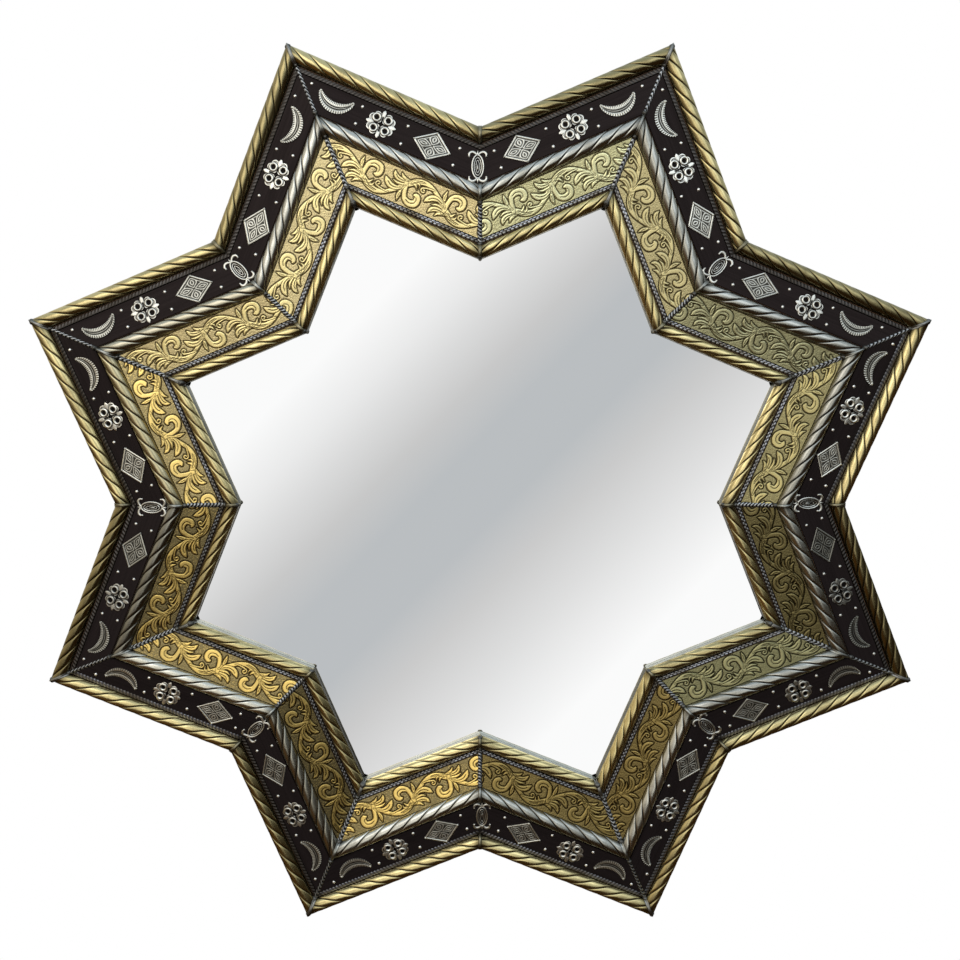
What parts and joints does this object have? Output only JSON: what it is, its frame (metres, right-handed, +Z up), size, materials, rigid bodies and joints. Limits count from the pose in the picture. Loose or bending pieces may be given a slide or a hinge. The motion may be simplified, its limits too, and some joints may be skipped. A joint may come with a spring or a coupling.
{
  "type": "star-shaped wall mirror",
  "caption": "Star-shaped wall mirror: a mitred wooden frame dressed with twisted brass and nickel ropes, a dark filigree band and embossed brass panels, hung by rings at the back.",
  "frame": {"origin": "centre of the rear face of the backing panel, where the mirror meets the wall", "axes": "+Z up, +Y back into the wall, -Y to the front, +X to the right seen from the front"},
  "size_m": [1.0166, 0.0325, 1.0166],
  "materials": {
    "wood": "stained, matt",
    "ebonised": "black, satin",
    "gold_brass": "embossed sheet, satin",
    "brass": "embossed, aged polish",
    "nickel": "nickel silver, polished",
    "dark_silver": "nickel silver, darkened",
    "mirror": "silvered glass",
    "plywood": "bare plywood",
    "steel": "plated steel"
  },
  "bodies": {
    "frame": {"wood_rail_01": "wood", "wood_rail_02": "wood", "wood_rail_03": "wood", "wood_rail_04": "wood", "wood_rail_05": "wood", "wood_rail_06": "wood", "wood_rail_07": "wood", "wood_rail_08": "wood", "wood_rail_09": "wood", "wood_rail_10": "wood", "wood_rail_11": "wood", "wood_rail_12": "wood", "wood_rail_13": "wood", "wood_rail_14": "wood", "wood_rail_15": "wood", "wood_rail_16": "wood", "dark_band_01": "ebonised", "dark_band_02": "ebonised", "dark_band_03": "ebonised", "dark_band_04": "ebonised", "dark_band_05": "ebonised", "dark_band_06": "ebonised", "dark_band_07": "ebonised", "dark_band_08": "ebonised", "dark_band_09": "ebonised", "dark_band_10": "ebonised", "dark_band_11": "ebonised", "dark_band_12": "ebonised", "dark_band_13": "ebonised", "dark_band_14": "ebonised", "dark_band_15": "ebonised", "dark_band_16": "ebonised", "brass_panel_01": "gold_brass", "brass_panel_02": "gold_brass", "brass_panel_03": "gold_brass", "brass_panel_04": "gold_brass", "brass_panel_05": "gold_brass", "brass_panel_06": "gold_brass", "brass_panel_07": "gold_brass", "brass_panel_08": "gold_brass", "brass_panel_09": "gold_brass", "brass_panel_10": "gold_brass", "brass_panel_11": "gold_brass", "brass_panel_12": "gold_brass", "brass_panel_13": "gold_brass", "brass_panel_14": "gold_brass", "brass_panel_15": "gold_brass", "brass_panel_16": "gold_brass", "outer_rope": "brass", "ridge_rope": "nickel", "inner_rope": "brass", "outer_bead": "dark_silver", "inner_bead": "dark_silver", "inner_liner": "nickel", "mirror_glass": "mirror", "backing_panel": "plywood", "hanger_strap_left": "steel", "hanger_strap_right": "steel"},
    "ring_left": {"hanger_ring_left": "steel"},
    "ring_right": {"hanger_ring_right": "steel"}
  },
  "joints": [
    {"name": "ring_hinge_left", "type": "hinge", "parent": "frame", "child": "ring_left", "pos_m": [-0.13, -0.0032, 0.41331], "axis": [1, 0, 0], "range_deg": [0, 180]},
    {"name": "ring_hinge_right", "type": "hinge", "parent": "frame", "child": "ring_right", "pos_m": [0.13, -0.0032, 0.41331], "axis": [1, 0, 0], "range_deg": [0, 180]}
  ]
}
